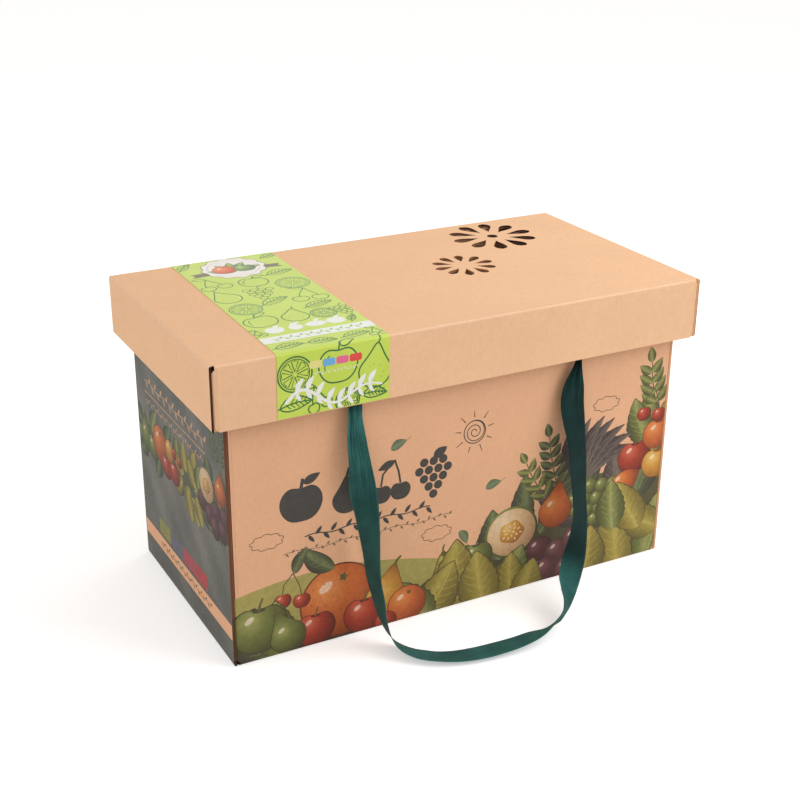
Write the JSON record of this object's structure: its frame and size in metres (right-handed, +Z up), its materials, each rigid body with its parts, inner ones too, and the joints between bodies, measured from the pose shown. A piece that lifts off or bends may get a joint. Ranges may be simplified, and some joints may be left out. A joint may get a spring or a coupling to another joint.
{
  "type": "fruit gift box",
  "caption": "Tall gift box for fruit, folded from printed corrugated board, with a lift-off lid, flower-shaped vents, a paper band over the lid and a woven ribbon handle on the front.",
  "frame": {"origin": "centre of the closed box's footprint, on the floor, without the ribbon", "axes": "+X along the box's length, -Y out of the front that carries the ribbon, +Z up out of the lid"},
  "size_m": [0.4, 0.2837, 0.2384],
  "materials": {
    "base_board": "matt kraft, printed",
    "lid_board": "matt kraft",
    "label_paper": "gloss coated",
    "ribbon": "woven, slight sheen",
    "barb": "moulded"
  },
  "bodies": {
    "base": {"base_tray": "base_board", "ribbon_handle": "ribbon", "handle_barb_left": "barb", "handle_barb_right": "barb"},
    "lid": {"lid_tray": "lid_board", "label_band": "label_paper"}
  },
  "joints": [
    {"name": "lid_lift", "type": "slide", "parent": "base", "child": "lid", "axis": [0, 0, 1], "range_m": [0, 0.1]}
  ]
}
